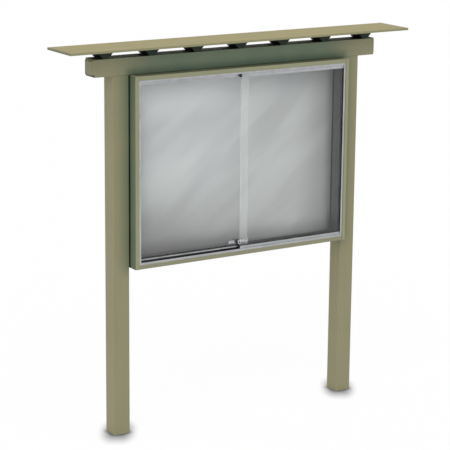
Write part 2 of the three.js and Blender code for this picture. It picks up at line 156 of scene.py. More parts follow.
# effects that several finishes share
def makeLumberSkin():
    tree, given, result = newGroup("lumberSkin", [
        ("Base", "Color", srgb(142, 138, 109)), ("Streak", "Color", srgb(126, 124, 97)),
        ("Stretch", "Vector", (60, 60, 1.5)), ("Streaks", "Float", 0.5),
        ("Clouds", "Float", 0.5), ("Flecks", "Float", 0.5),
    ], [("Color", "Color"), ("Roughness", "Float"), ("Height", "Float")])
    point = objectPoint(tree)
    stretched = vectorCalc(tree, "MULTIPLY", point, given["Stretch"])
    lines = ramp(tree, noise(tree, stretched, 1.0, 5.0, 0.6), 0.3, 0.7)
    streaks = calc(tree, "MULTIPLY", lines, given["Streaks"])
    streaked = mixed(tree, streaks, given["Base"], given["Streak"])
    cloud = calc(tree, "MULTIPLY", ramp(tree, noise(tree, point, 4.5, 4.0), 0.35, 0.65), given["Clouds"])
    clouded = mixed(tree, cloud, streaked, tinted(tree, streaked, (0.88, 0.9, 0.88)))
    cells = put(tree, "ShaderNodeTexVoronoi", {"Vector": point, "Scale": 150.0})
    pick = put(tree, "ShaderNodeSeparateColor", {0: cells.outputs["Color"]}).outputs[0]
    spot = calc(tree, "MULTIPLY", ramp(tree, cells.outputs["Distance"], 0.24, 0.12),
                calc(tree, "GREATER_THAN", pick, 0.84))
    fleck = calc(tree, "MULTIPLY", spot, given["Flecks"])
    flecked = mixed(tree, fleck, clouded, tinted(tree, clouded, (0.7, 0.7, 0.68)))
    tree.links.new(flecked, result["Color"])
    tree.links.new(ramp(tree, lines, 0, 1, 0.66, 0.54, False), result["Roughness"])
    pebbles = calc(tree, "MULTIPLY", noise(tree, point, 700.0, 2.0), 0.4)
    tree.links.new(calc(tree, "ADD", calc(tree, "MULTIPLY", lines, 0.6), pebbles), result["Height"])
    return tree


def makeArrisWear():
    # the mesh marks its eased edges in a face attribute, and noise breaks the wear up
    tree, given, result = newGroup("arrisWear", [("Amount", "Float", 0.6), ("Scale", "Float", 60.0)],
                                   [("Mask", "Float")])
    marked = put(tree, "ShaderNodeAttribute", attribute_name="arris").outputs["Fac"]
    broken = ramp(tree, noise(tree, objectPoint(tree), given["Scale"], 5.0, 0.65), 0.36, 0.64, 0.25, 1.0)
    tree.links.new(calc(tree, "MULTIPLY", calc(tree, "MULTIPLY", marked, broken), given["Amount"]),
                   result["Mask"])
    return tree


def makeShadeAndStripFilm():
    # a film of colour inside a box of |x|, y and z, fading outside it; mostly painted shade and shadow,
    # some darker strips
    tree, given, result = newGroup("shadeAndStripFilm", [
        ("Low", "Vector", (0, -1, 0)), ("High", "Vector", (1, 1, 1)), ("Fade", "Vector", (0.1, 0.1, 0.1)),
        ("Amount", "Float", 0.5),
    ], [("Mask", "Float")])
    point = objectPoint(tree)
    x, y, z = split(tree, point)
    mirrored = put(tree, "ShaderNodeCombineXYZ", {0: calc(tree, "ABSOLUTE", x), 1: y, 2: z}).outputs[0]
    below = vectorCalc(tree, "SUBTRACT", given["Low"], mirrored)
    above = vectorCalc(tree, "SUBTRACT", mirrored, given["High"])
    outside = vectorCalc(tree, "MAXIMUM", vectorCalc(tree, "MAXIMUM", below, above), (0, 0, 0))
    mask = given["Amount"]
    for share in split(tree, vectorCalc(tree, "DIVIDE", outside, given["Fade"])):
        mask = calc(tree, "MULTIPLY", mask, ramp(tree, share, 0, 1, 1, 0))
    patchy = ramp(tree, noise(tree, point, 9.0, 4.0), 0.3, 0.7, 0.85, 1.0)
    tree.links.new(calc(tree, "MULTIPLY", mask, patchy, clamp=True), result["Mask"])
    return tree


def makeDustFall():
    # dust and bleaching on the faces that look up
    tree, given, result = newGroup("dustFall", [("Amount", "Float", 0.3), ("Scale", "Float", 14.0)],
                                   [("Mask", "Float")])
    lying = ramp(tree, surfaceNormal(tree)[2], 0.4, 0.95)
    cover = ramp(tree, noise(tree, objectPoint(tree), given["Scale"], 5.0, 0.6), 0.25, 0.7, 0.55, 1.0)
    grains = ramp(tree, noise(tree, objectPoint(tree), 600.0, 2.0), 0.2, 0.8, 0.8, 1.0)
    mask = calc(tree, "MULTIPLY", calc(tree, "MULTIPLY", lying, cover), grains)
    tree.links.new(calc(tree, "MULTIPLY", mask, given["Amount"], clamp=True), result["Mask"])
    return tree


def makeDrawnLines():
    # the fine lines of extruded or rolled metal, and where hands and weather dulled it
    tree, given, result = newGroup("drawnLines", [("Stretch", "Vector", (3, 900, 900))],
                                   [("Lines", "Float"), ("Smudge", "Float")])
    stretched = vectorCalc(tree, "MULTIPLY", objectPoint(tree), given["Stretch"])
    tree.links.new(noise(tree, stretched, 1.0, 3.0, 0.7), result["Lines"])
    smudge = ramp(tree, noise(tree, objectPoint(tree), 22.0, 4.0, 0.55), 0.35, 0.7)
    tree.links.new(smudge, result["Smudge"])
    return tree


lumberSkin = makeLumberSkin()
arrisWear = makeArrisWear()
shadeAndStripFilm = makeShadeAndStripFilm()
dustFall = makeDustFall()
drawnLines = makeDrawnLines()


def newFinish(name):
    material = bpy.data.materials.new(name)
    material.use_nodes = True
    return material, material.node_tree, material.node_tree.nodes["Principled BSDF"]


def bump(tree, shader, height, relief):
    strength, distance = relief
    node = put(tree, "ShaderNodeBump", {"Strength": strength, "Distance": distance, "Height": height})
    tree.links.new(node.outputs[0], shader.inputs["Normal"])


def addFilms(tree, colour, films):
    for low, high, fade, amount, filmColour in films:
        film = useGroup(tree, shadeAndStripFilm, {"Low": low, "High": high, "Fade": fade, "Amount": amount})
        colour = mixed(tree, film["Mask"], colour, filmColour)
    return colour


# plastic lumber; each film is (low, high, fade, amount, colour) in |x|, y and z
postLumberSettings = {
    "base": srgb(141, 136, 105), "streak": srgb(132, 129, 99), "stretch": (70, 70, 1.4),
    "streaks": 0.6, "clouds": 0.35, "flecks": 0.35, "wear": 0.4, "dust": 0.2, "dustScale": 14.0,
    "dustColour": srgb(160, 153, 118), "shine": 0.5, "wornTint": (1.25, 1.25, 1.28),
    "relief": (0.35, 0.0006),  # strength and depth of the bump
    "slopeShade": 0.0, "slopeColour": srgb(8, 12, 9), "slopeTurn": (0.3, 0.6),
    "footShade": 0.0, "footColour": srgb(10, 12, 10),
    # painted shade: the posts' inner faces beside the case, and the front next to them, are painted darker
    # and greener
    "films": [((0.61, -0.1, 0.88), (0.642, 0.1, 1.84), (0.075, 0.1, 0.08), 0.55, srgb(78, 102, 82))],
}
headerLumberSettings = {
    **postLumberSettings, "base": srgb(139, 137, 107), "stretch": (1.4, 70, 70), "dust": 0.05,
    "footShade": 0.9,
    # painted shade: darker and greener in the middle under the roof and over the case, along its foot over
    # the case, on its top face, and along the foot of its ends
    "films": [
        ((0, -0.1, 1.83), (0.42, 0.1, 1.94), (0.36, 0.1, 0.1), 0.75, srgb(84, 111, 92)),
        ((0, -0.1, 1.83), (0.63, 0.1, 1.842), (0.05, 0.1, 0.05), 0.6, srgb(50, 78, 62)),
        ((0, -0.1, 1.9255), (0.9, 0.1, 1.94), (0.1, 0.1, 0.002), 0.85, srgb(48, 60, 50)),
        ((0.829, -0.1, 1.8), (0.9, 0.1, 1.8505), (0.002, 0.1, 0.001), 0.9, srgb(38, 44, 36)),
    ],
}
# painted shade: the brackets' lumber is painted far darker than the rest, for the shade under the roof,
# and their slopes near black
bracketShadedLumberSettings = {**postLumberSettings, "base": srgb(34, 48, 36), "streak": srgb(28, 40, 30),
                         "stretch": (1.4, 70, 70), "wear": 0.2, "slopeShade": 0.88, "shine": 0.25,
                         "films": []}
roofLumberSettings = {
    **postLumberSettings, "base": srgb(143, 141, 109), "streak": srgb(134, 132, 103),
    "stretch": (1.1, 60, 60), "clouds": 0.4, "dust": 1.0, "dustScale": 8.0, "shine": 0.25,
    "dustColour": srgb(154, 142, 93),
    "films": [((0.9944, -0.2, 1.9), (1.1, 0.2, 2.1), (0.0004, 0.1, 0.1), 0.7, srgb(104, 108, 90))],
}
caseSideLumberSettings = {
    **postLumberSettings, "base": srgb(145, 144, 113), "streak": srgb(137, 137, 106),
    # painted shade: the outer faces are painted darker and greener beside the posts, and near black in the
    # gap behind the posts' front
    "films": [
        ((0.6345, -0.2, 0.8), (0.65, 0.1, 1.9), (0.0006, 0.1, 0.1), 0.78, srgb(82, 104, 86)),
        ((0.6335, -0.042, 0.8), (0.65, 0.1, 1.9), (0.0006, 0.012, 0.1), 0.95, srgb(13, 40, 20)),
    ],
}
caseRightLumberSettings = {
    # darker strip on this board's front where it meets the channel
    **caseSideLumberSettings,
    "films": caseSideLumberSettings["films"] + [
        ((0.61, -0.2, 0.8), (0.6155, -0.09, 1.9), (0.0012, 0.01, 0.1), 0.62, srgb(62, 66, 56))],
}
caseRailLumberSettings = {
    **postLumberSettings, "base": srgb(141, 142, 112), "streak": srgb(133, 134, 105),
    "stretch": (1.4, 70, 70),
    "films": [
        # painted shade on the top face, under the header and the roof
        ((0, -0.2, 1.8365), (0.7, 0.1, 1.84), (0.1, 0.1, 0.0008), 0.8, srgb(50, 64, 48)),
        ((0, -0.2, 0.86), (0.7, 0.1, 0.9), (0.1, 0.1, 0.01), 0.2, srgb(111, 88, 95)),
    ],
}
backPanelLumberSettings = {**postLumberSettings, "base": srgb(131, 127, 99), "stretch": (1.4, 70, 70),
                           "films": []}


# painted shadow on the header's top beside each bracket's foot, in metres
bracketFootShadowSettings = {"pitch": 0.256, "outer": (-0.070, -0.046), "inner": (0.024, 0.012),
                    "rise": (1.9235, 1.9262)}


def lumberFinish(name, settings):
    material, tree, shader = newFinish(name)
    skin = useGroup(tree, lumberSkin, {
        "Base": settings["base"], "Streak": settings["streak"], "Stretch": settings["stretch"],
        "Streaks": settings["streaks"], "Clouds": settings["clouds"], "Flecks": settings["flecks"]})
    colour = addFilms(tree, skin["Color"], settings["films"])
    worn = useGroup(tree, arrisWear, {"Amount": settings["wear"]})["Mask"]
    colour = mixed(tree, worn, colour, tinted(tree, colour, settings["wornTint"]))
    if settings["slopeShade"]:
        # painted shade: the slopes under the roof are painted near black
        sideways = calc(tree, "ABSOLUTE", surfaceNormal(tree)[0])
        slope = ramp(tree, sideways, *settings["slopeTurn"], 0.0, settings["slopeShade"])
        colour = mixed(tree, slope, colour, settings["slopeColour"])
    if settings["footShade"]:
        # painted shadow on the header's top beside each bracket's foot
        footShadow = bracketFootShadowSettings
        x, y, z = split(tree, objectPoint(tree))
        along = calc(tree, "WRAP", x, footShadow["pitch"] / 2, -footShadow["pitch"] / 2)
        beside = calc(tree, "MULTIPLY", ramp(tree, along, *footShadow["outer"]),
                      ramp(tree, along, *footShadow["inner"]))
        pocket = calc(tree, "MULTIPLY", beside, ramp(tree, z, *footShadow["rise"], 0.0, settings["footShade"]))
        colour = mixed(tree, pocket, colour, settings["footColour"])
    dust = useGroup(tree, dustFall, {"Amount": settings["dust"], "Scale": settings["dustScale"]})["Mask"]
    colour = mixed(tree, dust, colour, settings["dustColour"])
    tree.links.new(colour, shader.inputs["Base Color"])
    tree.links.new(skin["Roughness"], shader.inputs["Roughness"])
    shader.inputs["Specular IOR Level"].default_value = settings["shine"]
    bump(tree, shader, skin["Height"], settings["relief"])
    return material


# aluminium, steel and lock metal; the films here are painted shade and shadow, or a strip of another
# colour
trackMetalSettings = {
    "base": srgb(182, 184, 186), "dull": srgb(168, 170, 172), "rough": (0.3, 0.42),
    "metallic": 0.85, "stretch": (3, 900, 900), "shine": 0.5, "relief": (0.15, 0.0002),
    "lineTint": (0.86, 0.86, 0.86), "wear": 0.5, "wearScale": 140.0, "worn": srgb(222, 224, 227),
    # painted shade: the faces behind the front of the lips are painted near black, as in the grooves
    "films": [((0, -0.0981, 0.88), (0.7, 0.1, 1.84), (0.1, 0.0004, 0.1), 0.94, srgb(20, 21, 22))],
}
sideMetalSettings = {**trackMetalSettings, "stretch": (900, 900, 3)}
bareMetalSettings = {**trackMetalSettings, "films": []}
shoeMetalSettings = {
    # the top of the shoe, along the pane's foot, is painted black
    **trackMetalSettings,
    "films": [((0, -0.2, 0.9146), (0.7, 0.1, 0.93), (0.1, 0.1, 0.0003), 0.98, srgb(14, 15, 16))],
}
railMetalSettings = {
    **bareMetalSettings, "base": srgb(178, 180, 184), "dull": srgb(166, 168, 172),
    # painted shadow of the upper track's lip on the rail's upper part
    "films": [((0, -0.2, 1.8045), (0.7, 0.1, 1.84), (0.1, 0.1, 0.0006), 0.35, srgb(90, 92, 94))],
}
glideMetalSettings = {
    **bareMetalSettings,
    # painted shade on the glide's lower part, under the shoe
    "films": [((0, -0.0825, 0.88), (0.7, 0.1, 0.9075), (0.1, 0.001, 0.0004), 0.92, srgb(22, 23, 24))],
}
# dark grey lining, painted darker than bare aluminium as painted shade inside the case; its films are
# painted shade along the foot, in the back corners, at the front beside the channels and at the front foot
liningMetalSettings = {
    **trackMetalSettings, "base": srgb(90, 92, 91), "dull": srgb(81, 83, 82),
    "rough": (0.6, 0.75), "metallic": 0.15, "shine": 0.0,
    "films": [
        ((0, -0.2, 0.88), (0.7, 0.1, 0.8925), (0.1, 0.1, 0.004), 1.1, srgb(14, 15, 14)),
        ((0.605, 0.004, 0.88), (0.7, 0.1, 1.84), (0.001, 0.006, 0.1), 0.97, srgb(10, 11, 12)),
        ((0.605, -0.2, 0.88), (0.7, -0.064, 1.84), (0.001, 0.012, 0.1), 0.6, srgb(50, 52, 56)),
        ((0.605, -0.05, 0.88), (0.7, 0.1, 0.9), (0.001, 0.012, 0.14), 0.85, srgb(24, 25, 24)),
    ],
}
screwMetalSettings = {**bareMetalSettings, "base": srgb(168, 169, 170), "dull": srgb(120, 121, 122),
                      "metallic": 1.0, "stretch": (400, 400, 400)}
axleMetalSettings = {**screwMetalSettings, "base": srgb(180, 181, 182)}
lockMetalSettings = {
    # painted shadow of the barrel on the bar, beside the barrel's seat
    **bareMetalSettings, "base": srgb(188, 190, 192), "dull": srgb(166, 168, 171),
    "rough": (0.24, 0.4), "metallic": 1.0, "stretch": (400, 400, 40),
    "films": [((0.0415, -0.2, 0.9), (0.0475, 0.1, 1.0), (0.0012, 0.1, 0.1), 0.9, srgb(40, 42, 44))],
}
# painted highlight: the ring on the barrel's front is painted brighter than the rest of the lock chrome
ringHighlightMetalSettings = {**lockMetalSettings, "base": srgb(224, 226, 229), "dull": srgb(206, 208, 212),
                     "films": []}
# painted shade: the chrome barrel is painted dark
barrelShadedMetalSettings = {**lockMetalSettings, "base": srgb(78, 80, 83), "dull": srgb(60, 62, 65)}
plugMetalSettings = {**bareMetalSettings, "base": srgb(122, 122, 120), "dull": srgb(98, 98, 96),
                     "rough": (0.24, 0.42), "metallic": 1.0, "stretch": (200, 200, 200)}


def metalFinish(name, settings):
    material, tree, shader = newFinish(name)
    lines = useGroup(tree, drawnLines, {"Stretch": settings["stretch"]})
    colour = mixed(tree, lines["Smudge"], settings["base"], settings["dull"])
    grained = mixed(tree, ramp(tree, lines["Lines"], 0.3, 0.7), colour,
                    tinted(tree, colour, settings["lineTint"]))
    wear = {"Amount": settings["wear"], "Scale": settings["wearScale"]}
    colour = mixed(tree, useGroup(tree, arrisWear, wear)["Mask"], grained, settings["worn"])
    tree.links.new(addFilms(tree, colour, settings["films"]), shader.inputs["Base Color"])
    rough = ramp(tree, lines["Smudge"], 0, 1, *settings["rough"], False)
    tree.links.new(rough, shader.inputs["Roughness"])
    shader.inputs["Metallic"].default_value = settings["metallic"]
    shader.inputs["Specular IOR Level"].default_value = settings["shine"]
    bump(tree, shader, lines["Lines"], settings["relief"])
    return material


# pale tack board, darker towards its foot and at its ends; places are in metres
tackSettings = {
    "topLeft": srgb(216, 219, 221), "topRight": srgb(202, 204, 205),
    "footLeft": srgb(158, 158, 158), "footRight": srgb(197, 198, 199),
    "bottom": 0.896, "height": 0.91, "halfWidth": 0.607,
    "topSpan": (-0.1, 0.25), "soilSpan": (-0.05, 0.52),  # along x, and up from the bottom
    "waveScale": 3.0, "waveHeight": 0.06,
    # painted reflection: lighter slanting bands; painted light: the upper part is painted paler
    "bandTurn": 38, "bandStretch": (0.8, 1.0, 3.4), "bandTint": (0.87, 0.86, 0.87),
    "bandEdge": (0.4, 0.62), "topLight": srgb(246, 248, 250), "topLightDrop": 0.26,
    "topLightSpan": (-0.2, 0.4), "topLightShare": (1.0, 0.25),
    # painted shade at the ends: end, how far in, amount
    "endShade": srgb(104, 104, 105), "ends": [(-1, 0.09, 0.35), (1, 0.26, 0.48), (1, 0.06, 0.55)],
    # painted shade in the right end's corners: distances from the right end, height, amounts at the bottom
    # and above
    "tackShade": srgb(50, 51, 50),
    "corners": [((0.032, 0.004), 0.17, (0.8, 0.2)), ((0.13, 0.02), 0.08, (0.4, 0.0))],
    # painted shade along the foot: heights over the bottom, amount
    "footBands": [(0.11, 0.0, 0.42), (0.026, 0.004, 0.45)],
    "weaveScale": 900.0, "weaveTint": (0.975, 0.975, 0.975), "wear": 0.4, "worn": srgb(200, 200, 200),
    # painted shade: dark line along the bottom, a little higher in the right half
    "line": srgb(10, 11, 11), "lineHeight": (0.0005, 0.003), "lineRise": 0.0045,
    "lineRiseSpan": (0.0, 0.06),
    "roughness": 0.85, "shine": 0.1, "relief": (0.06, 0.0002),
}


def tackFinish(name, settings):
    material, tree, shader = newFinish(name)
    point = objectPoint(tree)
    x, y, z = split(tree, point)
    half, bottom = settings["halfWidth"], settings["bottom"]
    top = bottom + settings["height"]
    tackShade = settings["tackShade"]
    wave = settings["waveHeight"]
    waves = ramp(tree, noise(tree, point, settings["waveScale"]), 0, 1, -wave, wave, False)
    wavy = calc(tree, "ADD", z, waves)
    foot = mixed(tree, ramp(tree, x, -half, half), settings["footLeft"], settings["footRight"])
    head = mixed(tree, ramp(tree, x, *settings["topSpan"]), settings["topLeft"], settings["topRight"])
    low, high = settings["soilSpan"]
    colour = mixed(tree, ramp(tree, wavy, bottom + low, bottom + high), foot, head)
    # painted reflection: lighter slanting bands, the rest tinted darker
    turned = put(tree, "ShaderNodeMapping",
                 {"Vector": point, "Rotation": (0, math.radians(settings["bandTurn"]), 0)}).outputs[0]
    slanting = vectorCalc(tree, "MULTIPLY", turned, settings["bandStretch"])
    reflectionBands = ramp(tree, noise(tree, slanting, 2.0, 2.0, 0.4), *settings["bandEdge"])
    colour = mixed(tree, reflectionBands, tinted(tree, colour, settings["bandTint"]), colour)
    # painted light: the upper part is painted paler
    litTop = calc(tree, "MULTIPLY", ramp(tree, z, top - settings["topLightDrop"], top),
                     ramp(tree, x, *settings["topLightSpan"], *settings["topLightShare"]))
    colour = mixed(tree, litTop, colour, settings["topLight"])
    # painted shade at both ends
    for side, reach, amount in settings["ends"]:
        shade = ramp(tree, x, side * half, side * (half - reach), amount, 0.0)
        colour = mixed(tree, shade, colour, settings["endShade"])
    # painted shade in the corners at the right end
    for (inner, outer), height, amounts in settings["corners"]:
        corner = calc(tree, "MULTIPLY", ramp(tree, x, half - inner, half - outer),
                      ramp(tree, z, bottom, bottom + height, *amounts))
        colour = mixed(tree, corner, colour, tackShade)
    # painted shade along the foot
    for high, low, amount in settings["footBands"]:
        colour = mixed(tree, ramp(tree, z, bottom + high, bottom + low, 0.0, amount), colour, tackShade)
    weave = noise(tree, point, settings["weaveScale"], 2.0)
    threads = ramp(tree, weave, 0.35, 0.65)
    colour = mixed(tree, threads, colour, tinted(tree, colour, settings["weaveTint"]))
    worn = useGroup(tree, arrisWear, {"Amount": settings["wear"]})["Mask"]
    colour = mixed(tree, worn, colour, settings["worn"])
    # painted shade: dark line along the bottom
    rise = ramp(tree, x, *settings["lineRiseSpan"], 0.0, settings["lineRise"])
    low, high = settings["lineHeight"]
    line = ramp(tree, calc(tree, "SUBTRACT", z, rise), bottom + low, bottom + high, 1.0, 0.0)
    colour = mixed(tree, line, colour, settings["line"])
    tree.links.new(colour, shader.inputs["Base Color"])
    shader.inputs["Specular IOR Level"].default_value = settings["shine"]
    shader.inputs["Roughness"].default_value = settings["roughness"]
    bump(tree, shader, weave, settings["relief"])
    return material


# clear panes with faint smears
paneSettings = {"tint": srgb(250, 252, 251), "edge": srgb(216, 228, 223), "wearScale": 40.0,
                "smear": (0.0, 0.05), "clear": 1.0, "bend": 1.45, "shine": 0.04, "relief": (0.02, 0.001),
                "footSpan": (0.93, 1.14), "footShade": 0.0, "footColour": srgb(60, 62, 61)}
paneHazeSettings = {**paneSettings, "clear": 0.95}  # hazier strip at the inner end, where the panes overlap
paneEdgeSettings = {  # ground free edge
    **paneSettings, "tint": srgb(222, 228, 226), "edge": srgb(204, 216, 211), "smear": (0.35, 0.5),
    "clear": 0.15, "shine": 0.5, "footShade": 0.5,
}
paneSeatSettings = {  # outer edge, painted dark as painted shade where it sits in its channel
    **paneEdgeSettings, "tint": srgb(40, 42, 42), "edge": srgb(46, 48, 47), "shine": 0.1,
}


def paneFinish(name, settings):
    material, tree, shader = newFinish(name)
    point = objectPoint(tree)
    smear = ramp(tree, noise(tree, point, 6.0, 5.0, 0.6), 0.4, 0.75)
    tree.links.new(ramp(tree, smear, 0, 1, *settings["smear"], False), shader.inputs["Roughness"])
    cut = useGroup(tree, arrisWear, {"Amount": 1.0, "Scale": settings["wearScale"]})["Mask"]
    colour = mixed(tree, cut, settings["tint"], settings["edge"])
    if settings["footShade"]:
        shade = ramp(tree, split(tree, point)[2], *settings["footSpan"], settings["footShade"], 0.0)
        colour = mixed(tree, shade, colour, settings["footColour"])
    tree.links.new(colour, shader.inputs["Base Color"])
    shader.inputs["Transmission Weight"].default_value = settings["clear"]
    shader.inputs["IOR"].default_value = settings["bend"]
    shader.inputs["Specular IOR Level"].default_value = settings["shine"]
    bump(tree, shader, noise(tree, point, 2.5, 1.0), settings["relief"])
    return material


# black moulded plastic of rollers, glides, bumpers and spacers
blackPlasticSettings = {"base": srgb(26, 27, 28), "pale": srgb(52, 53, 54), "rough": (0.42, 0.62),
                        "wear": 0.6, "wearScale": 90.0, "worn": srgb(84, 85, 86), "dust": 0.35,
                        "dustScale": 30.0, "dustColour": srgb(120, 117, 104), "relief": (0.25, 0.0003)}


def blackPlasticFinish(name, settings):
    material, tree, shader = newFinish(name)
    point = objectPoint(tree)
    grain = noise(tree, point, 1100.0, 2.0)
    scuff = ramp(tree, noise(tree, point, 35.0, 5.0, 0.6), 0.45, 0.75)
    colour = mixed(tree, scuff, settings["base"], settings["pale"])
    wear = {"Amount": settings["wear"], "Scale": settings["wearScale"]}
    colour = mixed(tree, useGroup(tree, arrisWear, wear)["Mask"], colour, settings["worn"])
    dust = useGroup(tree, dustFall, {"Amount": settings["dust"], "Scale": settings["dustScale"]})["Mask"]
    tree.links.new(mixed(tree, dust, colour, settings["dustColour"]), shader.inputs["Base Color"])
    tree.links.new(ramp(tree, scuff, 0, 1, *settings["rough"], False), shader.inputs["Roughness"])
    bump(tree, shader, grain, settings["relief"])
    return material


finishRows = [
    (lumberFinish, {
        "postLumber": postLumberSettings, "headerLumber": headerLumberSettings,
        "bracketShadedLumber": bracketShadedLumberSettings, "roofLumber": roofLumberSettings,
        "caseSideLumber": caseSideLumberSettings, "caseRightLumber": caseRightLumberSettings,
        "caseRailLumber": caseRailLumberSettings, "backPanelLumber": backPanelLumberSettings}),
    (metalFinish, {
        "trackMetal": trackMetalSettings, "sideMetal": sideMetalSettings,
        "shoeMetal": shoeMetalSettings, "railMetal": railMetalSettings,
        "glideMetal": glideMetalSettings, "liningMetal": liningMetalSettings,
        "screwMetal": screwMetalSettings, "axleMetal": axleMetalSettings,
        "lockMetal": lockMetalSettings, "ringHighlightMetal": ringHighlightMetalSettings,
        "barrelShadedMetal": barrelShadedMetalSettings, "plugMetal": plugMetalSettings}),
    (tackFinish, {"tackVinyl": tackSettings}),
    (paneFinish, {"paneGlass": paneSettings, "paneHaze": paneHazeSettings, "paneEdge": paneEdgeSettings,
                  "paneSeat": paneSeatSettings}),
    (blackPlasticFinish, {"blackPlastic": blackPlasticSettings}),
]
finishes = {name: makeFinish(name, settings)
            for makeFinish, rows in finishRows for name, settings in rows.items()}
print("stage: finishes made")


# each CAD solid is copied, its triangles merged, and its edges eased as the real piece's are
easeSettings = {
    "merge": 0.01 * mm, "flat": 0.5, "sharp": 35, "segments": 2, "smooth": 50,  # angles in degrees
    # slanted faces narrower than this count as worn edges too
    "slanted": 0.97, "narrow": 7.5 * mm,
}


def easedCopy(node, ease, settings):
    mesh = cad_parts[node].data.copy()
    mesh.materials.clear()
    mesh.name = node + "Eased"
    shape = bmesh.new()
    shape.from_mesh(mesh)
    arris = shape.faces.layers.float.new("arris")
    bmesh.ops.remove_doubles(shape, verts=shape.verts, dist=settings["merge"])
    bmesh.ops.dissolve_limit(shape, angle_limit=math.radians(settings["flat"]),
                             verts=shape.verts, edges=shape.edges)
    bmesh.ops.recalc_face_normals(shape, faces=shape.faces)
    sharp = [edge for edge in shape.edges
             if len(edge.link_faces) == 2 and edge.calc_face_angle(0) > math.radians(settings["sharp"])]
    made = bmesh.ops.bevel(shape, geom=sharp, offset=ease, offset_type="OFFSET", profile=0.5,
                           segments=settings["segments"], affect="EDGES", clamp_overlap=True)
    for face in made["faces"]:
        face[arris] = 1
    for face in shape.faces:
        slanted = max(abs(value) for value in face.normal) < settings["slanted"]
        width = face.calc_area() / max(edge.calc_length() for edge in face.edges)
        if slanted and width < settings["narrow"]:
            face[arris] = 1
    bmesh.ops.recalc_face_normals(shape, faces=shape.faces)
    shape.to_mesh(mesh)
    shape.free()
    return mesh


def smoothByAngle(piece, angle):
    piece.data.polygons.foreach_set("use_smooth", [True] * len(piece.data.polygons))
    piece.data.set_sharp_from_angle(angle=math.radians(angle))
    piece.modifiers.new("flatFaces", "WEIGHTED_NORMAL").keep_sharp = True


def addEased(node, body, finish, slot, ease):
    piece = bpy.data.objects.new(node + "_eased", easedCopy(node, ease * mm, easeSettings))
    scene.collection.objects.link(piece)
    piece.data.materials.append(finishes[finish])
    smoothByAngle(piece, easeSettings["smooth"])
    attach(piece, body)
    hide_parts(node)
    return piece


standSettings = [
    # node, finish, slot, ease in mm
    ("post_left", "postLumber", "lumber", 1.2), ("post_right", "postLumber", "lumber", 1.2),
    ("header_beam", "headerLumber", "lumber", 1.2), ("roof_board", "roofLumber", "roof_lumber", 0.5),
    ("case_left", "caseSideLumber", "lumber", 0.5), ("case_right", "caseRightLumber", "lumber", 0.5),
    ("case_top", "caseRailLumber", "lumber", 0.5), ("case_bottom", "caseRailLumber", "lumber", 0.5),
    ("back_panel", "backPanelLumber", "lumber", 0.6),
    ("tack_board", "tackVinyl", "tack_vinyl", 0.8),
    ("case_lining", "liningMetal", "lining_aluminium", 0.25),
    ("lower_track", "trackMetal", "track_aluminium", 0.25),
    ("upper_track", "trackMetal", "track_aluminium", 0.25),
    ("left_side_channel", "sideMetal", "track_aluminium", 0.25),
    ("right_side_channel", "sideMetal", "track_aluminium", 0.25),
    ("case_spacer_left", "blackPlastic", "black_plastic", 0.5),
    ("case_spacer_right", "blackPlastic", "black_plastic", 0.5),
    ("header_lag_screw_left", "screwMetal", "fastener_steel", 0.3),
    ("header_lag_screw_right", "screwMetal", "fastener_steel", 0.3),
]
standSettings += [(f"roof_bracket_{number}", "bracketShadedLumber", "lumber", 0.8) for number in range(1, 8)]
standSettings += [(f"roof_screw_{number}", "screwMetal", "fastener_steel", 0.2) for number in range(1, 8)]
standSettings += [(f"case_screw_{side}_{level}", "screwMetal", "fastener_steel", 0.2)
                  for side in ("left", "right") for level in ("lower", "upper")]
socketSettings = {"rim": 0.45, "taper": 0.1, "depth": 0.34}  # shares of the head's radius


def cutSocket(piece, outward, settings):
    # drive socket in the end face of a screw's head
    def outermost(face):
        return round(face.calc_center_median().dot(outward), 5), face.calc_area()

    shape = bmesh.new()
    shape.from_mesh(piece.data)
    end = max(shape.faces, key=outermost)
    radius = math.sqrt(end.calc_area() / math.pi)
    bmesh.ops.inset_individual(shape, faces=[end], thickness=settings["rim"] * radius)
    bmesh.ops.inset_individual(shape, faces=[end], thickness=settings["taper"] * radius,
                               depth=-settings["depth"] * radius)
    shape.to_mesh(piece.data)
    shape.free()


for node, finish, slot, ease in standSettings:
    piece = addEased(node, "stand", finish, slot, ease)
    if "screw" in node:
        inwardX = {"case_screw_left": 1, "case_screw_right": -1}.get(node.rpartition("_")[0], 0)
        cutSocket(piece, Vector((inwardX, 0, 0 if inwardX else 1)), socketSettings)
print("stage: stand and case dressed")


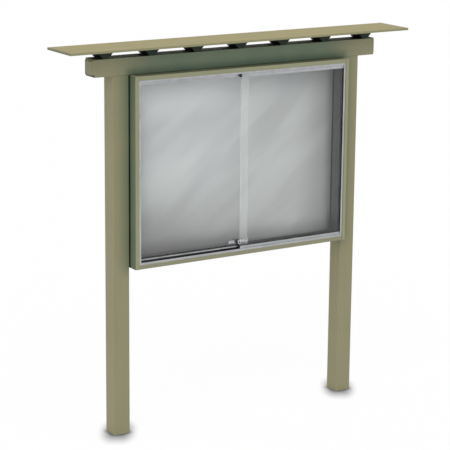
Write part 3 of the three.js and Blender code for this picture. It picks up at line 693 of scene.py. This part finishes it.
# small screws that have no solid of their own; the tree sets one on every point of a mesh
def makeScrewTree():
    tree = bpy.data.node_groups.new("smallScrews", "GeometryNodeTree")
    for label, kind in (("Places", "Geometry"), ("Head Radius", "Float"), ("Head Height", "Float"),
                        ("Crown", "Float"), ("Socket Radius", "Float"), ("Socket Depth", "Float"),
                        ("Sides", "Int"), ("Seed", "Int"), ("Finish", "Material")):
        tree.interface.new_socket(label, in_out="INPUT", socket_type="NodeSocket" + kind)
    tree.interface.new_socket("Screws", in_out="OUTPUT", socket_type="NodeSocketGeometry")
    given = tree.nodes.new("NodeGroupInput").outputs
    crownRadius = calc(tree, "MULTIPLY", given["Head Radius"], given["Crown"])
    head = put(tree, "GeometryNodeMeshCone", {
        "Vertices": given["Sides"], "Radius Top": crownRadius, "Radius Bottom": given["Head Radius"],
        "Depth": given["Head Height"]}).outputs["Mesh"]
    socket = put(tree, "GeometryNodeMeshCylinder", {
        "Vertices": 6, "Radius": given["Socket Radius"],
        "Depth": calc(tree, "MULTIPLY", given["Socket Depth"], 2.0)}).outputs["Mesh"]
    raised = put(tree, "ShaderNodeCombineXYZ", {2: given["Head Height"]}).outputs[0]
    moved = put(tree, "GeometryNodeTransform", {"Geometry": socket, "Translation": raised}).outputs[0]
    drilled = put(tree, "GeometryNodeMeshBoolean", {"Mesh 1": head, "Mesh 2": moved},
                  operation="DIFFERENCE").outputs["Mesh"]
    outward = put(tree, "GeometryNodeInputNamedAttribute", {"Name": "outward"},
                  data_type="FLOAT_VECTOR").outputs["Attribute"]
    stood = put(tree, "FunctionNodeAlignRotationToVector", {"Vector": outward}, axis="Z").outputs[0]
    spin = put(tree, "FunctionNodeRandomValue", {"Max": 2 * math.pi, "Seed": given["Seed"]},
               data_type="FLOAT").outputs["Value"]
    turn = put(tree, "FunctionNodeAxisAngleToRotation", {"Axis": (0, 0, 1), "Angle": spin}).outputs[0]
    rotation = put(tree, "FunctionNodeRotateRotation", {"Rotation": stood, "Rotate By": turn},
                   rotation_space="LOCAL").outputs[0]
    placed = put(tree, "GeometryNodeInstanceOnPoints", {
        "Points": given["Places"], "Instance": drilled, "Rotation": rotation}).outputs[0]
    real = put(tree, "GeometryNodeRealizeInstances", {"Geometry": placed}).outputs[0]
    done = put(tree, "GeometryNodeSetMaterial", {"Geometry": real, "Material": given["Finish"]}).outputs[0]
    tree.links.new(done, tree.nodes.new("NodeGroupOutput").inputs[0])
    return tree


smallScrewSettings = {
    "Head Radius": 3.6 * mm, "Head Height": 1.6 * mm, "Crown": 0.7, "Socket Radius": 1.6 * mm,
    "Socket Depth": 1.0 * mm, "Sides": 16, "Seed": 11, "Finish": finishes["screwMetal"],
}
smallScrewPlaces = {
    "panelEdge": 5.2 * mm, "panelColumns": 9, "panelRows": 7, "railMiddle": 11 * mm,
    "railY": (-25 * mm, 22 * mm), "trackWeb": 2 * mm,
    "trackX": (-560 * mm, -280 * mm, 280 * mm, 560 * mm),
}


def spaced(low, high, count):
    return [low + (high - low) * step / (count - 1) for step in range(count)]


def smallScrewPoints(settings):
    low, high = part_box("back_panel")
    edge = settings["panelEdge"]
    for x in spaced(low.x + edge, high.x - edge, settings["panelColumns"]):
        for z in (low.z + edge, high.z - edge):
            yield (x, high.y, z), (0, 1, 0)
    for z in spaced(low.z + edge, high.z - edge, settings["panelRows"])[1:-1]:
        for x in (low.x + edge, high.x - edge):
            yield (x, high.y, z), (0, 1, 0)
    for node, direction in (("case_left", -1), ("case_right", 1)):
        low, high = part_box(node)
        for z in (low.z + settings["railMiddle"], high.z - settings["railMiddle"]):
            for y in settings["railY"]:
                yield (low.x if direction < 0 else high.x, y, z), (direction, 0, 0)
    low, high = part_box("lower_track")
    for x in settings["trackX"]:
        for door in ("left", "right"):
            glideLow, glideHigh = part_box(f"{door}_door_glide")
            yield (x, (glideLow.y + glideHigh.y) / 2, low.z + settings["trackWeb"]), (0, 0, 1)


def addSmallScrews(settings, places):
    found = list(smallScrewPoints(places))
    mesh = bpy.data.meshes.new("smallScrewPlaces")
    mesh.from_pydata([place for place, outward in found], [], [])
    field = mesh.attributes.new("outward", "FLOAT_VECTOR", "POINT")
    for point, (place, outward) in zip(field.data, found):
        point.vector = outward
    carrier = bpy.data.objects.new("smallScrewPlaces", mesh)
    scene.collection.objects.link(carrier)
    modifier = carrier.modifiers.new("smallScrews", "NODES")
    modifier.node_group = makeScrewTree()
    for socket in modifier.node_group.interface.items_tree:
        if socket.in_out == "INPUT" and socket.name in settings:
            modifier[socket.identifier] = settings[socket.name]
    seen = carrier.evaluated_get(bpy.context.evaluated_depsgraph_get())
    piece = bpy.data.objects.new("small_screws", bpy.data.meshes.new_from_object(seen))
    scene.collection.objects.link(piece)
    bpy.data.objects.remove(carrier)
    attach(piece, "stand")
    print("small screws:", len(found), "faces:", len(piece.data.polygons))


addSmallScrews(smallScrewSettings, smallScrewPlaces)
print("stage: small screws set")

doorSettings = [
    # piece, finish, slot, ease in mm
    ("glass", "paneGlass", "pane_glass", 0.7), ("door_shoe", "shoeMetal", "track_aluminium", 0.25),
    ("door_top_rail", "railMetal", "track_aluminium", 0.25),
    ("door_glide", "glideMetal", "track_aluminium", 0.25),
    ("door_bumper", "blackPlastic", "black_plastic", 0.4),
    ("roller_axle_inner", "axleMetal", "axle_steel", 0.2),
    ("roller_axle_outer", "axleMetal", "axle_steel", 0.2),
]
doorPaintSettings = {"hazeWidth": 50 * mm, "stopGap": 0.1 * mm, "endFacing": 0.3}


def addFinish(piece, finish):
    piece.data.materials.append(finishes[finish])
    return len(piece.data.materials) - 1


def paintBeyond(piece, finish, place, direction):
    # faces past a plane get one more finish, after the plane has cut them
    last = addFinish(piece, finish)
    shape = bmesh.new()
    shape.from_mesh(piece.data)
    bmesh.ops.bisect_plane(shape, geom=shape.verts[:] + shape.edges[:] + shape.faces[:], dist=1e-6,
                           plane_co=place, plane_no=direction)
    for face in shape.faces:
        if (face.calc_center_median() - place).dot(direction) > 0:
            face.material_index = last
    shape.to_mesh(piece.data)
    shape.free()


for side in ("left", "right"):
    paneLow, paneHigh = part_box(f"{side}_glass")
    inward = Vector((1 if side == "left" else -1, 0, 0))
    freeEdge = Vector((paneHigh[0] if side == "left" else paneLow[0], 0, 0))
    for part, finish, slot, ease in doorSettings:
        piece = addEased(f"{side}_{part}", f"{side}_door", finish, slot, ease)
        if part == "glass":
            piece.visible_shadow = False  # light reaches the tack board through the panes
            paintBeyond(piece, "paneHaze", freeEdge - inward * doorPaintSettings["hazeWidth"], inward)
            # ground free edge, and the outer edge, painted dark as painted shade where it sits in its
            # channel
            free, seat = addFinish(piece, "paneEdge"), addFinish(piece, "paneSeat")
            for face in piece.data.polygons:
                if abs(face.normal.x) > doorPaintSettings["endFacing"]:
                    face.material_index = free if face.normal.dot(inward) > 0 else seat
        if part == "door_glide":
            # the end stop, just past the pane's free edge, is black
            paintBeyond(piece, "blackPlastic", freeEdge + inward * doorPaintSettings["stopGap"], inward)
    for end in ("inner", "outer"):
        addEased(f"{side}_roller_{end}", f"{side}_roller_{end}", "blackPlastic", "black_plastic", 0.3)
print("stage: doors dressed")

lockSettings = [
    # node, body, finish, slot, ease in mm
    ("ratchet_bar", "left_door", "lockMetal", "lock_chrome", 0.2),
    ("lock_barrel", "lock_barrel", "barrelShadedMetal", "lock_chrome", 0.3),
    ("pawl_spring", "lock_barrel", "axleMetal", "axle_steel", 0.05),
    ("lock_plug", "lock_plug", "plugMetal", "lock_nickel", 0.15),
    ("lock_pawl", "lock_pawl", "axleMetal", "axle_steel", 0.15),
]
ringDepth = 1.3 * mm  # painted highlight: a bright ring round the barrel's front
for row in lockSettings:
    piece = addEased(*row)
    if row[0] == "lock_barrel":
        ringBack = Vector((0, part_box("lock_barrel")[0].y + ringDepth, 0))
        paintBeyond(piece, "ringHighlightMetal", ringBack, Vector((0, -1, 0)))
print("stage: lock dressed")


# floor, world and lamp
floorSettings = {
    "radius": 40.0, "sides": 64, "colour": (0.9, 0.9, 0.9, 1), "faint": 0.985, "roughness": 0.9,
    "white": 0.95, "contact": 0.03, "contactPower": 1.6, "feet": (-0.6855, 0.6855), "footHalf": 0.02,
    "haloTurn": 31.87, "haloReach": (0.092, 0.2), "haloDepth": 0.2,
}


def studioRays(tree):
    # 1 for rays from the camera, from a gloss and through glass, which see a white studio
    path = put(tree, "ShaderNodeLightPath").outputs
    indirect = calc(tree, "MAXIMUM", path["Is Glossy Ray"], path["Is Transmission Ray"])
    return calc(tree, "MAXIMUM", path["Is Camera Ray"], indirect)


def addFloor(settings):
    shape = bmesh.new()
    bmesh.ops.create_circle(shape, cap_ends=True, segments=settings["sides"], radius=settings["radius"])
    mesh = bpy.data.meshes.new("studioFloor")
    shape.to_mesh(mesh)
    shape.free()
    floor = bpy.data.objects.new("studioFloor", mesh)
    scene.collection.objects.link(floor)
    material, tree, shader = newFinish("floorPaper")
    clouds = ramp(tree, noise(tree, objectPoint(tree), 3.0, 4.0), 0.3, 0.7)
    pale = settings["colour"]
    soft = tuple(value * settings["faint"] for value in pale[:3]) + (1,)
    tree.links.new(mixed(tree, clouds, pale, soft), shader.inputs["Base Color"])
    shader.inputs["Roughness"].default_value = settings["roughness"]
    near = put(tree, "ShaderNodeAmbientOcclusion", {"Distance": settings["contact"]},
               samples=8).outputs["AO"]
    strength = calc(tree, "POWER", near, settings["contactPower"])
    for footX in settings["feet"]:
        # soft shade round the foot of each post, longer to the front and back
        turned = put(tree, "ShaderNodeMapping", {
            "Vector": vectorCalc(tree, "SUBTRACT", objectPoint(tree), (footX, 0, 0)),
            "Rotation": (0, 0, math.radians(settings["haloTurn"]))}).outputs[0]
        half = settings["footHalf"]
        past = vectorCalc(tree, "SUBTRACT", vectorCalc(tree, "ABSOLUTE", turned), (half, half, 0))
        wide, deep = settings["haloReach"]
        share = vectorCalc(tree, "DIVIDE", vectorCalc(tree, "MAXIMUM", past, (0, 0, 0)), (wide, deep, 1))
        away = put(tree, "ShaderNodeVectorMath", {0: share}, operation="LENGTH").outputs["Value"]
        strength = calc(tree, "MULTIPLY", strength, ramp(tree, away, 0, 1, settings["haloDepth"], 1.0))
    glow = put(tree, "ShaderNodeEmission", {"Color": (1, 1, 1, 1), "Strength": strength}).outputs[0]
    white = calc(tree, "MULTIPLY", studioRays(tree), settings["white"])
    paper = put(tree, "ShaderNodeMixShader", {0: white, 1: shader.outputs[0], 2: glow})
    tree.links.new(paper.outputs[0], tree.nodes["Material Output"].inputs["Surface"])
    mesh.materials.append(material)


worldSettings = {"fill": 0.74, "colour": (1.0, 1.0, 1.0, 1)}
lampSettings = {"towards": (-0.38, -0.46, 0.80), "strength": 1.15, "angle": 50,
                "colour": (1.0, 0.99, 0.96)}


def lightStudio(worldGiven, lampGiven):
    world = bpy.data.worlds.new("studioWorld")
    scene.world = world
    world.use_nodes = True
    tree = world.node_tree
    tree.nodes.clear()
    fill = put(tree, "ShaderNodeBackground", {0: worldGiven["colour"], 1: worldGiven["fill"]}).outputs[0]
    white = put(tree, "ShaderNodeBackground", {0: (1, 1, 1, 1), 1: 1.0}).outputs[0]
    both = put(tree, "ShaderNodeMixShader", {0: studioRays(tree), 1: fill, 2: white}).outputs[0]
    put(tree, "ShaderNodeOutputWorld", {0: both})
    data = bpy.data.lights.new("softSun", "SUN")
    data.energy = lampGiven["strength"]
    data.angle = math.radians(lampGiven["angle"])
    data.color = lampGiven["colour"]
    lamp = bpy.data.objects.new("softSun", data)
    lamp.rotation_euler = Vector(lampGiven["towards"]).to_track_quat("Z", "Y").to_euler()
    scene.collection.objects.link(lamp)


addFloor(floorSettings)
lightStudio(worldSettings, lampSettings)
scene.view_settings.view_transform = "Standard"
print("stage: studio lit")
